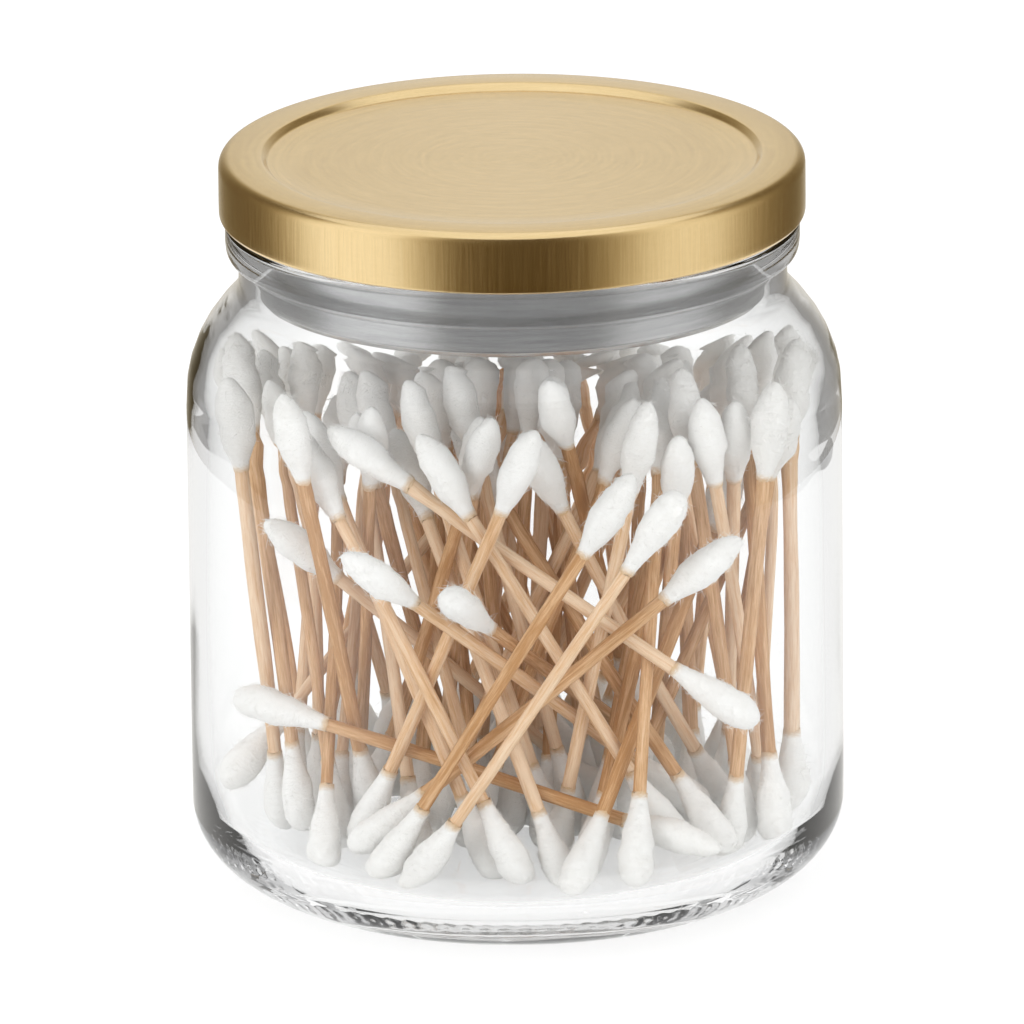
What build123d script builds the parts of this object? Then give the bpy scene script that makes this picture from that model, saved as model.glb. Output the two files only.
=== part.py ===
"""Glass jar with a push-on gold lid, packed with two-ended cotton swabs.

Millimetres, +Z up, origin at the middle of the base. The jar is one blown piece of clear glass.
The lid is a pressed metal shell on a moulded plug, with a soft ring that seals the plug in the bore.
Each swab is a birch stick with cotton wound on both ends, one end blunt and the other pointed.
"""

import os
from math import asin, atan2, cos, degrees, pi, radians, sin

import numpy as np
from build123d import *

os.makedirs("parts", exist_ok=True)

# Glass jar, outside
BODY_RADIUS = 48.2
HEEL_HEIGHT = 12.4
FOOT_RADIUS = 31.4
FOOT_WIDTH = 2.0
FOOT_STEP = 0.6
PUSH_UP = 2.6
SHOULDER_BOTTOM = 74.0
CROWN_ROUND = 20.0
SWEEP_ROUND = 4.5
SHOULDER_TURN = 47.0
NECK_RADIUS = 40.2
BEAD_RADIUS = 42.15
BEAD_BOTTOM = 95.6
BEAD_TOP = 101.2
FLANK_RISE = 2.2
BEVEL = 0.8
FINISH_RADIUS = 40.7
RIM_TOP = 107.2
RIM_CROWN = 0.5

# Glass jar, inside
WALL = 3.0
BASE_THICKNESS = 5.6
INNER_HEEL_ROUND = 10.0
INNER_CROWN_ROUND = 17.0
INNER_SWEEP_ROUND = 8.0
BORE_RADIUS = 36.6
INNER_RADIUS = BODY_RADIUS - WALL

# Lid shell of pressed sheet
LID_RADIUS = 43.0
LID_BOTTOM = 101.55
LID_TOP = 110.7
LID_ROUND = 1.7
SHEET = 0.6
PANEL_RADIUS = 35.8
PANEL_DROP = 1.0
PANEL_FLARE = 0.8
HEM_SIZE = 1.5
HEM_BEVEL = 0.45

# Lid plug and its sealing ring
PLUG_RADIUS = 36.1
PLUG_BOTTOM = 90.3
PLUG_WALL = 2.7
PLUG_FLOOR = 1.6
FLANGE_RADIUS = 41.6
GROOVE_BOTTOM = 100.6
GROOVE_HEIGHT = 3.4
GROOVE_DEPTH = 1.3
RING_REACH = 36.45
RING_VALLEY = 36.0
RING_SLACK = 0.1

# Cotton swabs
SWAB_LENGTH = 75.0
STICK_RADIUS = 1.15
TIP_LENGTH = 14.5
TIP_RADIUS = 2.6
TIP_NECK = 1.3
BLUNT_NOSE_RADIUS = 1.5
BLUNT_WIDEST = 4.0
POINTED_NOSE_RADIUS = 0.7
POINTED_WIDEST = 7.0
SIDES = 8
HEADROOM = 84.0
CLEARANCE = 0.15
SEPARATE_SWABS = 27


def save(name, piece):
    """Label a finished piece and write it as the node of that name."""
    piece.part.label = name
    export_step(piece.part, f"parts/{name}.step")


def shoulder(radius, crown_round, sweep_round, neck_radius):
    """Ends of a shoulder's arcs: crown end, sweep start and neck start, as (radius, height).

    The crown turns in from the body by SHOULDER_TURN, and the sweep turns back up to the neck.
    """
    turn = radians(SHOULDER_TURN)
    crown_end = (radius - crown_round * (1 - cos(turn)), SHOULDER_BOTTOM + crown_round * sin(turn))
    flat_in = crown_end[0] - neck_radius - sweep_round * (1 - cos(turn))
    sweep_start = (crown_end[0] - flat_in, crown_end[1] + flat_in * cos(turn) / sin(turn))
    return crown_end, sweep_start, (neck_radius, sweep_start[1] + sweep_round * sin(turn))


# Glass jar: one turned section with a pushed-up base, a foot, an elliptical heel, a bead and a bore
outer_crown, outer_sweep, outer_neck = shoulder(BODY_RADIUS, CROWN_ROUND, SWEEP_ROUND, NECK_RADIUS)
inner_crown, inner_sweep, inner_neck = shoulder(
    INNER_RADIUS, INNER_CROWN_ROUND, INNER_SWEEP_ROUND, BORE_RADIUS
)
dish_edge = FOOT_RADIUS - FOOT_WIDTH
dish_depth = PUSH_UP - FOOT_STEP
dish_radius = (dish_edge**2 + dish_depth**2) / (2 * dish_depth)
heel_top = BASE_THICKNESS + INNER_HEEL_ROUND

with BuildPart() as glass_jar:
    with BuildSketch(Plane.XZ):
        with BuildLine():
            dish = CenterArc((0, PUSH_UP - dish_radius), dish_radius, 90, -degrees(asin(dish_edge / dish_radius)))
            foot = Polyline(dish @ 1, (dish_edge + FOOT_STEP / 2, 0), (FOOT_RADIUS, 0))
            heel = EllipticalCenterArc(
                (FOOT_RADIUS, HEEL_HEIGHT), BODY_RADIUS - FOOT_RADIUS, HEEL_HEIGHT, 270, arc_size=90
            )
            body = Line(heel @ 1, (BODY_RADIUS, SHOULDER_BOTTOM))
            crown = CenterArc((BODY_RADIUS - CROWN_ROUND, SHOULDER_BOTTOM), CROWN_ROUND, 0, SHOULDER_TURN)
            slope = Line(crown @ 1, outer_sweep)
            sweep_centre = (NECK_RADIUS + SWEEP_ROUND, outer_neck[1])
            sweep = CenterArc(sweep_centre, SWEEP_ROUND, 180 + SHOULDER_TURN, -SHOULDER_TURN)
            neck = Line(sweep @ 1, (NECK_RADIUS, BEAD_BOTTOM))
            flank = RadiusArc(neck @ 1, (BEAD_RADIUS, BEAD_BOTTOM + FLANK_RISE), -FLANK_RISE)
            bead = Polyline(
                flank @ 1,
                (BEAD_RADIUS, BEAD_TOP - BEVEL),
                (BEAD_RADIUS - BEVEL, BEAD_TOP),
                (FINISH_RADIUS, BEAD_TOP),
                (FINISH_RADIUS, RIM_TOP - RIM_CROWN),
            )
            rim = ThreePointArc(
                bead @ 1, ((FINISH_RADIUS + BORE_RADIUS) / 2, RIM_TOP), (BORE_RADIUS, RIM_TOP - RIM_CROWN)
            )
            bore = Line(rim @ 1, inner_neck)
            inside_centre = (BORE_RADIUS + INNER_SWEEP_ROUND, inner_neck[1])
            inside_sweep = CenterArc(inside_centre, INNER_SWEEP_ROUND, 180, SHOULDER_TURN)
            inside_slope = Line(inside_sweep @ 1, inner_crown)
            inside_crown = CenterArc(
                (INNER_RADIUS - INNER_CROWN_ROUND, SHOULDER_BOTTOM), INNER_CROWN_ROUND, SHOULDER_TURN, -SHOULDER_TURN
            )
            inside_wall = Line(inside_crown @ 1, (INNER_RADIUS, heel_top))
            inside_heel = CenterArc((INNER_RADIUS - INNER_HEEL_ROUND, heel_top), INNER_HEEL_ROUND, 0, -90)
            Polyline(inside_heel @ 1, (0, BASE_THICKNESS), dish @ 0)
        make_face()
    revolve(axis=Axis.Z)
save("glass_jar", glass_jar)

# Lid shell: pressed sheet with a sunk panel, a rounded rim and a hem folded in under the flange
hem_inside = LID_RADIUS - HEM_SIZE
sheet_inside = LID_RADIUS - SHEET
panel_top = LID_TOP - PANEL_DROP
corner_height = LID_TOP - LID_ROUND

with BuildPart() as lid_shell:
    with BuildSketch(Plane.XZ):
        with BuildLine():
            top = Polyline(
                (0, panel_top - SHEET),
                (0, panel_top),
                (PANEL_RADIUS, panel_top),
                (PANEL_RADIUS + PANEL_FLARE, LID_TOP),
                (LID_RADIUS - LID_ROUND, LID_TOP),
            )
            corner = CenterArc((LID_RADIUS - LID_ROUND, corner_height), LID_ROUND, 90, -90)
            hem = Polyline(
                corner @ 1,
                (LID_RADIUS, LID_BOTTOM + HEM_BEVEL),
                (LID_RADIUS - HEM_BEVEL, LID_BOTTOM),
                (hem_inside + HEM_BEVEL, LID_BOTTOM),
                (hem_inside, LID_BOTTOM + HEM_BEVEL),
                (hem_inside, LID_BOTTOM + HEM_SIZE - HEM_BEVEL),
                (sheet_inside, LID_BOTTOM + HEM_SIZE + HEM_BEVEL),
                (sheet_inside, corner_height),
            )
            inner_corner = CenterArc((LID_RADIUS - LID_ROUND, corner_height), LID_ROUND - SHEET, 0, 90)
            Polyline(
                inner_corner @ 1,
                (PANEL_RADIUS + PANEL_FLARE + SHEET / 2, LID_TOP - SHEET),
                (PANEL_RADIUS + SHEET / 2, panel_top - SHEET),
                (0, panel_top - SHEET),
            )
        make_face()
    revolve(axis=Axis.Z)
save("lid_shell", lid_shell)

# Lid plug: a moulded cup with a flange that sits on the rim, closed above by the shell's panel
plug_inside = PLUG_RADIUS - PLUG_WALL
groove_top = GROOVE_BOTTOM + GROOVE_HEIGHT
groove_radius = PLUG_RADIUS - GROOVE_DEPTH

with BuildPart() as lid_plug:
    with BuildSketch(Plane.XZ):
        with BuildLine():
            Polyline(
                (0, PLUG_BOTTOM),
                (PLUG_RADIUS - BEVEL, PLUG_BOTTOM),
                (PLUG_RADIUS, PLUG_BOTTOM + BEVEL),
                (PLUG_RADIUS, GROOVE_BOTTOM),
                (groove_radius, GROOVE_BOTTOM),
                (groove_radius, groove_top),
                (PLUG_RADIUS, groove_top),
                (PLUG_RADIUS, RIM_TOP),
                (FLANGE_RADIUS, RIM_TOP),
                (FLANGE_RADIUS, panel_top - SHEET),
                (plug_inside, panel_top - SHEET),
                (plug_inside, PLUG_BOTTOM + PLUG_FLOOR),
                (0, PLUG_BOTTOM + PLUG_FLOOR),
                close=True,
            )
        make_face()
    revolve(axis=Axis.Z)
save("lid_plug", lid_plug)

# Sealing ring: a soft band in the plug's groove, with two lips that wipe the bore
ring_bottom = GROOVE_BOTTOM + RING_SLACK
ring_top = groove_top - RING_SLACK
ring_inside = groove_radius + RING_SLACK
lip_height = (ring_top - ring_bottom) / 4

with BuildPart() as seal_ring:
    with BuildSketch(Plane.XZ):
        with BuildLine():
            Polyline(
                (ring_inside, ring_bottom),
                (RING_VALLEY, ring_bottom),
                (RING_REACH, ring_bottom + lip_height),
                (RING_VALLEY, ring_bottom + 2 * lip_height),
                (RING_REACH, ring_bottom + 3 * lip_height),
                (RING_VALLEY, ring_top),
                (ring_inside, ring_top),
                close=True,
            )
        make_face()
    revolve(axis=Axis.Z)
save("seal_ring", seal_ring)

# Swabs seen through the glass from the front, each from its blunt end to its pointed one, front to back
SEEN_SWABS = [
    ((-24, -35, 7), (17, -34, 71)),
    ((29, -29, 66), (-17, -34, 7)),
    ((-20, -29, 7), (31, -28, 60)),
    ((34, -24, 27), (-22, -27, 77)),
    ((-7, -39, 55), (28, 8, 8)),
    ((-40, -13, 27), (34, -25, 14)),
    ((26, -8, 10), (-25, -33, 61)),
    ((16, 4, 11), (-39, -14, 60)),
    ((5, -39, 6), (36, 2, 60)),
    ((16, -35, 6), (22, -8, 76)),
    ((3, -31, 6), (-18, 0, 74)),
    ((-5, -35, 6), (-30, -8, 72)),
    ((-29, -24, 7), (-26, 17, 70)),
    ((-34, -4, 7), (-42, 2, 80)),
    ((-30, 4, 7), (-33, 8, 80)),
    ((-23, -10, 7), (-37, 8, 79)),
    ((-18, -16, 7), (-31, -22, 80)),
    ((-12, -18, 7), (-28, 4, 76)),
    ((-42, 0, 15), (0, 30, 60)),
    ((33, -8, 8), (-2, -25, 72)),
    ((26, -26, 7), (-10, 0, 66)),
    ((31, -19, 7), (27, -14, 80)),
    ((33, -24, 7), (35, -18, 80)),
    ((37, -14, 8), (35, -5, 80)),
    ((38, -4, 9), (39, -8, 82)),
    ((20, -5, 7), (42, -2, 78)),
    ((2, -16, 7), (21, -22, 79)),
]

# Swabs that only fill the jar: count, foot radius, head radius, first bearing, arc and lean in degrees
FILLING_RINGS = [
    (16, 38, 38, -12, 204, 24),
    (12, 32, 34, 0, 180, -40),
    (12, 25, 31, 10, 360, 55),
    (12, 17, 26, 25, 360, 90),
    (10, 9, 20, 40, 360, 130),
    (4, 2, 10, 0, 360, 180),
]
SETTLING_ROUNDS = 1400
STEP = 0.4

# Balls strung along a swab that keep it inside the glass: distance from the foot, radius
SPAN_BALLS = [(1.0, 1.75), (4.0, TIP_RADIUS), (9.0, TIP_RADIUS), (TIP_LENGTH, TIP_NECK), (26.0, STICK_RADIUS)]


def on_circle(radius, bearing, height):
    return (radius * cos(radians(bearing)), radius * sin(radians(bearing)), height)


def filling_swabs():
    """Swabs that stand in rings, leaning round the jar one way and then the other."""
    placed = []
    for count, foot_radius, head_radius, first, arc, lean in FILLING_RINGS:
        for number in range(count):
            bearing = first + arc * number / count
            swing = lean if number % 2 else -lean
            foot_point = on_circle(foot_radius, bearing, BASE_THICKNESS + STICK_RADIUS)
            head_point = on_circle(head_radius, bearing + swing, SWAB_LENGTH)
            placed.append((foot_point, head_point))
    return placed


def nearest(p, u, q, v):
    """Fractions along the segments p + s u and q + t v at which they come nearest."""
    gap = p - q
    uu, vv, uv = (u * u).sum(-1), (v * v).sum(-1), (u * v).sum(-1)
    ug, vg = (u * gap).sum(-1), (v * gap).sum(-1)
    s = np.clip((uv * vg - ug * vv) / np.maximum(uu * vv - uv**2, 1e-9), 0, 1)
    t = np.clip((uv * s + vg) / vv, 0, 1)
    return np.clip((uv * t - ug) / uu, 0, 1), t


def room(height, ball):
    """How far from the axis a ball's centre may lie at each height inside the glass."""
    heel = np.sqrt(np.maximum((INNER_HEEL_ROUND - ball) ** 2 - np.maximum(heel_top - height, 0) ** 2, 0))
    crown = np.sqrt(
        np.maximum((INNER_CROWN_ROUND - ball) ** 2 - np.maximum(height - SHOULDER_BOTTOM, 0) ** 2, 0)
    )
    return np.minimum(INNER_RADIUS - INNER_HEEL_ROUND + heel, INNER_RADIUS - INNER_CROWN_ROUND + crown)


def settle(placed):
    """Move the swabs apart, and in from the glass, until none touches another."""
    ends = np.array(placed, float)
    count = len(ends)
    marks = np.array([0, TIP_LENGTH, SWAB_LENGTH - TIP_LENGTH, SWAB_LENGTH]) / SWAB_LENGTH
    radii = np.tile([TIP_RADIUS, STICK_RADIUS, TIP_RADIUS], count)
    owner = np.repeat(np.arange(count), 3)
    one, two = np.triu_indices(3 * count, 1)
    apart = owner[one] != owner[two]
    one, two = one[apart], two[apart]
    reach = radii[one] + radii[two] + CLEARANCE
    balls = SPAN_BALLS + [(SWAB_LENGTH - at, ball) for at, ball in SPAN_BALLS]

    def push(moves, swab, fraction, shift):
        """Share a shift of the point at this fraction between the swab's two ends."""
        share = np.stack([1 - fraction, fraction], -1)
        share /= (share**2).sum(-1, keepdims=True)
        np.add.at(moves, swab, share[..., None] * shift[:, None, :])

    for _ in range(SETTLING_ROUNDS):
        moves = np.zeros_like(ends)
        points = ends[:, :1] + marks[None, :, None] * (ends[:, 1:] - ends[:, :1])
        starts = points[:, :3].reshape(-1, 3)
        spans = (points[:, 1:] - points[:, :3]).reshape(-1, 3)
        s, t = nearest(starts[one], spans[one], starts[two], spans[two])
        between = starts[one] + s[:, None] * spans[one] - starts[two] - t[:, None] * spans[two]
        distance = np.linalg.norm(between, axis=1)
        close = distance < reach
        shift = between[close] * ((reach - distance)[close] / np.maximum(distance[close], 1e-6) / 2)[:, None]
        low, high = marks[one % 3], marks[one % 3 + 1]
        push(moves, owner[one][close], (low + s * (high - low))[close], shift)
        low, high = marks[two % 3], marks[two % 3 + 1]
        push(moves, owner[two][close], (low + t * (high - low))[close], -shift)
        for at, ball in balls:
            fraction = np.full(count, at / SWAB_LENGTH)
            centre = ends[:, 0] + fraction[:, None] * (ends[:, 1] - ends[:, 0])
            radius = np.hypot(centre[:, 0], centre[:, 1])
            shift = np.zeros((count, 3))
            inward = np.minimum(room(centre[:, 2], ball) - radius, 0) / np.maximum(radius, 1)
            shift[:, :2] = centre[:, :2] * inward[:, None]
            shift[:, 2] = np.clip(centre[:, 2], BASE_THICKNESS + ball, HEADROOM - ball) - centre[:, 2]
            push(moves, np.arange(count), fraction, shift)
        ends += STEP * moves
        middle = ends.mean(axis=1, keepdims=True)
        along = ends[:, 1:] - ends[:, :1]
        along *= SWAB_LENGTH / np.linalg.norm(along, axis=-1, keepdims=True)
        ends = np.concatenate([middle - along / 2, middle + along / 2], axis=1)
    print("nearest swabs", round(float((distance - reach + CLEARANCE).min()), 3), "mm apart")
    return ends


# One swab's solids, standing on their foot plane: a stick between two wound tips that meet it face to face
def narrowing(length, start_radius, end_radius):
    """The draft, in degrees, that takes a polygon from one radius to the other over the length."""
    return degrees(atan2((start_radius - end_radius) * cos(pi / SIDES), length))


def half_tip(length, end_radius):
    """The part of a tip from its widest place to one end, standing on its wide face."""
    with BuildPart() as half:
        with BuildSketch():
            RegularPolygon(TIP_RADIUS, SIDES)
        extrude(amount=length, taper=narrowing(length, TIP_RADIUS, end_radius))
    return half.part


def make_tip(nose_radius, widest):
    """A tip that narrows from TIP_RADIUS at its widest place, down to its nose and up to the stick."""
    to_stick = half_tip(TIP_LENGTH - widest, TIP_NECK)
    to_nose = half_tip(widest, nose_radius)
    with BuildPart() as tip:
        with Locations((0, 0, widest)):
            add(to_stick)
            add(to_nose, rotation=(180, 0, 0))
    return tip.part


with BuildPart() as stick:
    with BuildSketch(Plane.XY.offset(TIP_LENGTH)):
        RegularPolygon(STICK_RADIUS, SIDES)
    extrude(amount=SWAB_LENGTH - 2 * TIP_LENGTH)

blunt_tip = make_tip(BLUNT_NOSE_RADIUS, BLUNT_WIDEST)
pointed_tip = make_tip(POINTED_NOSE_RADIUS, POINTED_WIDEST)


def facing(start, end):
    """The place at one end of a swab, looking along it to the other end."""
    along = Vector(*map(float, end - start))
    return Plane(origin=Vector(*map(float, start)), z_dir=along).location


def save_swabs(name, swabs):
    """Write the sticks of these swabs as one node and their cotton as another."""
    feet = [facing(foot_point, head_point) for foot_point, head_point in swabs]
    heads = [facing(head_point, foot_point) for foot_point, head_point in swabs]
    with BuildPart() as sticks:
        with Locations(*feet):
            add(stick.part, clean=False)
    save(f"{name}_stick", sticks)
    with BuildPart() as cotton:
        with Locations(*feet):
            add(blunt_tip, clean=False)
        with Locations(*heads):
            add(pointed_tip, clean=False)
    save(f"{name}_cotton", cotton)


swabs = settle(SEEN_SWABS + filling_swabs())
for number, ends in enumerate(swabs[:SEPARATE_SWABS], start=1):
    save_swabs(f"swab_{number:02d}", [ends])

# The swabs behind these share one node for their sticks and one for their cotton
save_swabs("filling_swabs", swabs[SEPARATE_SWABS:])
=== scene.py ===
"""Glass jar of cotton swabs with a push-on gold lid, dressed and lit as a studio photograph.

Sizes are in millimetres, turned into metres where a mesh is made. +Z is up, -Y faces the camera.
The jar, the lid and its plug are turned from fine outlines. Each swab is built on the axis of its solid.
"""

import math

import bmesh
import bpy
import numpy as np
from mathutils import Matrix, Vector


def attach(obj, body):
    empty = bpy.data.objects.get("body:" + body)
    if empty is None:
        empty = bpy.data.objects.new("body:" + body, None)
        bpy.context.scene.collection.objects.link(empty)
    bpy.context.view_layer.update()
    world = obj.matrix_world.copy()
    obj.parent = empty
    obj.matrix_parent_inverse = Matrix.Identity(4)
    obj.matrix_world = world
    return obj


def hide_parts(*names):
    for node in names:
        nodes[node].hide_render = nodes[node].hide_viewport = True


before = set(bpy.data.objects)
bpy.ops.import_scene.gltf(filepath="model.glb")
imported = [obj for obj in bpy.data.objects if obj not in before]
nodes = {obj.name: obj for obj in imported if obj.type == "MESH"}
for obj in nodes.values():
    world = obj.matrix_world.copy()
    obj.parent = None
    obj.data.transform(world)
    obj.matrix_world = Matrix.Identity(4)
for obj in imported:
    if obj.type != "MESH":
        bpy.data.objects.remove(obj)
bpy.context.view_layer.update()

MM = 0.001
SEED = 11

# Camera, as the photograph was taken: far away through a long lens, with a slight roll
CAMERA_DISTANCE = 2400.0
CAMERA_TARGET = (0.0, 0.0, 60.0)
CAMERA_ELEVATION = 17.39
CAMERA_AIM = (-0.5, 0.0, 55.4)
CAMERA_ROLL = -0.6
CAMERA_LENS = 573.0
SENSOR = 36.0
CLIP_M = (0.1, 100.0)

# Glass jar, outside
BODY_RADIUS = 48.2
HEEL_HEIGHT = 12.4
FOOT_RADIUS = 31.4
FOOT_WIDTH = 2.0
FOOT_STEP = 0.6
PUSH_UP = 2.6
SHOULDER_BOTTOM = 74.0
CROWN_ROUND = 20.0
SWEEP_ROUND = 4.5
SHOULDER_TURN = 47.0
NECK_RADIUS = 40.2
BEAD_RADIUS = 42.15
BEAD_BOTTOM = 95.6
BEAD_TOP = 101.2
BEAD_CORNER = 0.8
FLANK_RISE = 2.2
FLANK_TURN = 54.0
FINISH_RADIUS = 40.7
RIM_TOP = 107.2
RIM_CORNER = 0.6

# Glass jar, inside
WALL = 3.0
BASE_THICKNESS = 5.6
INNER_HEEL_ROUND = 10.0
INNER_CROWN_ROUND = 17.0
INNER_SWEEP_ROUND = 8.0
BORE_RADIUS = 36.6
INNER_RADIUS = BODY_RADIUS - WALL

# Uneven inside of the blown glass, ripples near its shoulder, and the crescents inside its heel
WAVE_HEIGHT = 0.09
WAVE_LENGTH = 26.0
WAVE_END = RIM_TOP - 8.0
WAVE_FADE = 10.0
HEEL_SINK = 0.6
RIPPLE_HEIGHT = 0.045
RIPPLE_LENGTH = 9.0
RIPPLE_REACH = 12.0
CRESCENTS = 90
CRESCENT_RADIUS = 39.2
CRESCENT_REACH = 1.5
CRESCENT_HEIGHT = 0.035
CRESCENT_BOW = 0.35
CRESCENT_VALLEY = -0.4
CRESCENT_ROWS = 14
JAR_SIDES = 540

# Lid
LID_RADIUS = 43.0
LID_BOTTOM = 101.55
LID_TOP = 110.7
LID_ROUND = 1.7
SHEET = 0.6
PANEL_RADIUS = 35.8
PANEL_DROP = 1.0
PANEL_FLARE = 0.8
HEM_SIZE = 1.5
HEM_BEVEL = 0.45

# Plug and ring
PLUG_RADIUS = 36.1
PLUG_BOTTOM = 90.3
PLUG_WALL = 2.7
PLUG_FLOOR = 1.6
PLUG_BEVEL = 0.8
FLANGE_RADIUS = 41.6
GROOVE_BOTTOM = 100.6
GROOVE_HEIGHT = 3.4
GROOVE_DEPTH = 1.3
RING_REACH = 36.45
RING_VALLEY = 36.0
RING_SLACK = 0.1
LID_SIDES = 256

# Least size that the soft corners of each turned piece keep
GLASS_SOFTNESS = 0.45
LID_SOFTNESS = 0.35
PLUG_SOFTNESS = 0.16
RING_SOFTNESS = 0.12

# Swabs
SWAB_LENGTH = 75.0
STICK_RADIUS = 1.04
STICK_SINK = 5.0
STICK_GIRTHS = (0.88, 1.04)
STICK_UNEVEN = 0.025
STICK_KNOTS = 9
STICK_FLATS = ((5, 0.02), (3, 0.015))
TIP_LENGTH = 14.5
TIP_RADIUS = 2.52
NOSE_SPREAD = 0.35
NECK_WIDTH = 1.12
NECK_RAG = 0.18
NECK_RAGS = ((3, 0.8), (7, 0.5))
NECK_START = 0.75
NECK_COVER = 2.0
BLUNT_WIDEST = 4.2
BLUNT_CURVE = 2.3
POINTED_WIDEST = 7.0
POINTED_CURVE = 1.9
POINTED_LEAN = 1.15
NECK_CURVE = 1.15
CAP_EDGE = 60.0
STICK_SIDES = 18
STICK_ROWS = 20
TIP_SIDES = 24
TIP_ROWS = 22
TIP_SIDES_BEHIND = 16
TIP_ROWS_BEHIND = 16
BOW = 0.28
BOW_SIZES = (0.3, 1.0)
KINK_SIZES = (0.0, 0.4)
GRAIN_SHIFT = 400.0
NOSE_CAP = 0.05
ASIDE = (0.3, 0.9, 0.2)
LUMP = 0.052
LUMP_LENGTH = 3.4
PLEAT_LENGTH = 1.3
PLEAT_SHARE = 0.45
TIP_OFFSET = 0.12

# Loose fibres on the tips
FIBRES_IN_VIEW = 260
FIBRES_BEHIND = 55
FIBRE_WIDTH = 0.034
FIBRE_TAPER = (1.2, 0.9, 0.3)
FIBRE_CORNERS = (0, 120, 240)
FIBRE_LENGTHS = (0.4, 1.5)
FIBRE_LIFTS = (0.12, 0.5)
FIBRE_RISE = 2.2
FIBRE_DROPS = (0.6, 2.0)
FIBRE_CURL = 0.3
FIBRE_ROOT = 0.05
FIBRE_PLACES = (0.02, 0.97)


def arc(centre, radius, start, turn, step=5.0):
    """Points on an arc in the plane of the outline, by angles in degrees from +X."""
    count = max(2, int(abs(turn) / step) + 1)
    angles = np.radians(np.linspace(start, start + turn, count))
    return [(centre[0] + radius * math.cos(a), centre[1] + radius * math.sin(a)) for a in angles]


def soften(outline, amount, turn=8.0, longest=5.0, closed=False):
    """Round an outline's corners by about the amount, and keep only the rows that its shape needs."""
    points = np.array(outline, float)
    if closed:
        points = np.vstack([points, points[:1]])
    lengths = np.concatenate([[0], np.cumsum(np.linalg.norm(np.diff(points, axis=0), axis=1))])
    steps_each, reach, spread = 4, 8, 3.2
    places = np.linspace(0, lengths[-1], int(lengths[-1] / (amount / steps_each)) + 1)
    line = np.stack([np.interp(places, lengths, points[:, i]) for i in (0, 1)], 1)
    weights = np.exp(-0.5 * (np.arange(-reach, reach + 1) / spread) ** 2)
    weights /= weights.sum()
    if closed:
        padded = np.vstack([line[-reach - 1 : -1], line, line[1 : reach + 1]])
    else:
        before, after = 2 * line[0] - line[reach:0:-1], 2 * line[-1] - line[-2 : -reach - 2 : -1]
        padded = np.vstack([before, line, after])
    smooth = np.stack([np.convolve(padded[:, i], weights, "valid") for i in (0, 1)], 1)
    directions = np.unwrap(np.arctan2(*np.diff(smooth, axis=0).T[::-1]))
    kept, last_angle, last_place = [0], directions[0], 0.0
    for number in range(1, len(smooth) - 1):
        bent = abs(directions[number] - last_angle) > math.radians(turn)
        if bent or places[number] - last_place > longest:
            kept.append(number)
            last_angle, last_place = directions[number], places[number]
    if not closed:
        kept.append(len(smooth) - 1)
    return smooth[kept]


def turned(outline, sides):
    """A grid of points, rows by sides, from an outline of (radius, height)."""
    angles = np.linspace(0, 2 * math.pi, sides, endpoint=False)
    radius, height = outline[:, 0, None], outline[:, 1, None]
    return np.stack([radius * np.cos(angles), radius * np.sin(angles), height + 0 * angles], -1)


def grid_faces(rows, sides, closed=False, first=0):
    """Quads of a grid that goes round in its sides, and with closed in its rows too."""
    row = np.arange(rows if closed else rows - 1)[:, None]
    side = np.arange(sides)[None, :]
    after, beside = (row + 1) % rows, (side + 1) % sides
    corners = [row * sides + side, row * sides + beside, after * sides + beside, after * sides + side]
    return first + np.stack([c.ravel() for c in np.broadcast_arrays(*corners)], 1)


def make_mesh(name, points, faces, sharp=None):
    """An object from points in millimetres, smooth apart from edges sharper than the given angle."""
    mesh = bpy.data.meshes.new(name)
    places = np.asarray(points, float).reshape(-1, 3) * MM
    mesh.from_pydata(places.tolist(), [], [list(f) for f in faces])
    mesh.validate()
    mesh.shade_smooth()
    if sharp is not None:
        mesh.set_sharp_from_angle(angle=math.radians(sharp))
    made = bpy.data.objects.new(name, mesh)
    bpy.context.scene.collection.objects.link(made)
    return made


def turned_faces(outline, sides, closed=False):
    """Faces of a turned grid, with the rows on the axis closed by one point each."""
    faces = grid_faces(len(outline), sides, closed)
    if closed:
        return faces.tolist()
    low, high = faces[: sides], faces[-sides:]
    middle = faces[sides:-sides].tolist()
    top_row = (len(outline) - 1) * sides
    bottom = [[0, c, d] for _, _, c, d in low]
    top = [[a, b, top_row] for a, b, _, _ in high]
    return bottom + middle + top


def tidy_axis(made):
    """Drop the spare points that a turned grid leaves on its axis."""
    used = np.zeros(len(made.data.vertices), bool)
    corners = np.empty(len(made.data.loops), int)
    made.data.loops.foreach_get("vertex_index", corners)
    used[corners] = True
    if not used.all():
        work = bmesh.new()
        work.from_mesh(made.data)
        bmesh.ops.delete(work, geom=[v for v in work.verts if not v.link_faces], context="VERTS")
        work.to_mesh(made.data)
        work.free()


def waves(points, length, seed, count=7):
    """Smooth noise, mostly from -1 to 1, at points in millimetres, of about the given wave length."""
    rng = np.random.default_rng(seed)
    directions = rng.normal(size=(count, 3))
    directions /= np.linalg.norm(directions, axis=1, keepdims=True)
    pitch = 2 * math.pi / (length * rng.uniform(0.7, 1.6, count))
    phases = rng.uniform(0, 2 * math.pi, count)
    flat = np.asarray(points).reshape(-1, 3)
    total = np.sin(flat @ (directions * pitch[:, None]).T + phases).sum(1) / math.sqrt(count)
    return total.reshape(np.shape(points)[:-1])


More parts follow.
